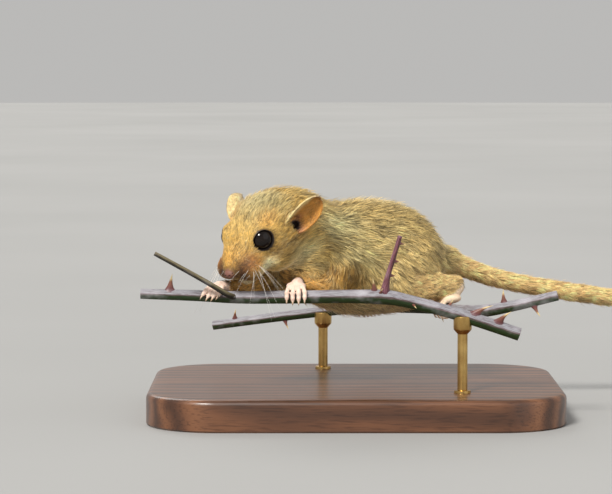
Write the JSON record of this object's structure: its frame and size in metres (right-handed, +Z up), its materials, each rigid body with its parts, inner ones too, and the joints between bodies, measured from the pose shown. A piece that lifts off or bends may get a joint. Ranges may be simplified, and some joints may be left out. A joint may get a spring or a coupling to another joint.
{
  "type": "hazel dormouse model",
  "caption": "Hazel dormouse at life size leaning over a cut bramble stem, with a golden coat, black eyes and a furry tail, on a plain display stand.",
  "frame": {"origin": "centre of the display base's underside, on the surface that the model stands on", "axes": "+Z up; +X towards the tail, to the right in the picture; +Y away from the side that the picture shows"},
  "size_m": [0.1229, 0.0718, 0.0518],
  "materials": {
    "fur": "dense soft golden fur",
    "skin": "bare pink skin with fine pale hairs",
    "eye": "wet gloss",
    "stem": "smooth bramble bark, bloomed on top and green below",
    "base": "satin dark wood",
    "rod": "satin"
  },
  "bodies": {
    "root": {"head": "fur", "neck": "fur", "torso": "fur", "ear_left": "fur", "ear_right": "fur", "arm_left": "fur", "arm_right": "fur", "forearm_left": "fur", "forearm_right": "fur", "thigh_left": "fur", "thigh_right": "fur", "shank_left": "fur", "shank_right": "fur", "tail_root": "fur", "tail_middle": "fur", "tail_tip": "fur", "hand_left": "skin", "hand_right": "skin", "foot_left": "skin", "foot_right": "skin", "eye_left": "eye", "eye_right": "eye", "perch_stem_front": "stem", "perch_stem_rear": "stem", "stand_base": "base", "stand_rod_front": "rod", "stand_rod_rear": "rod"}
  },
  "joints": []
}
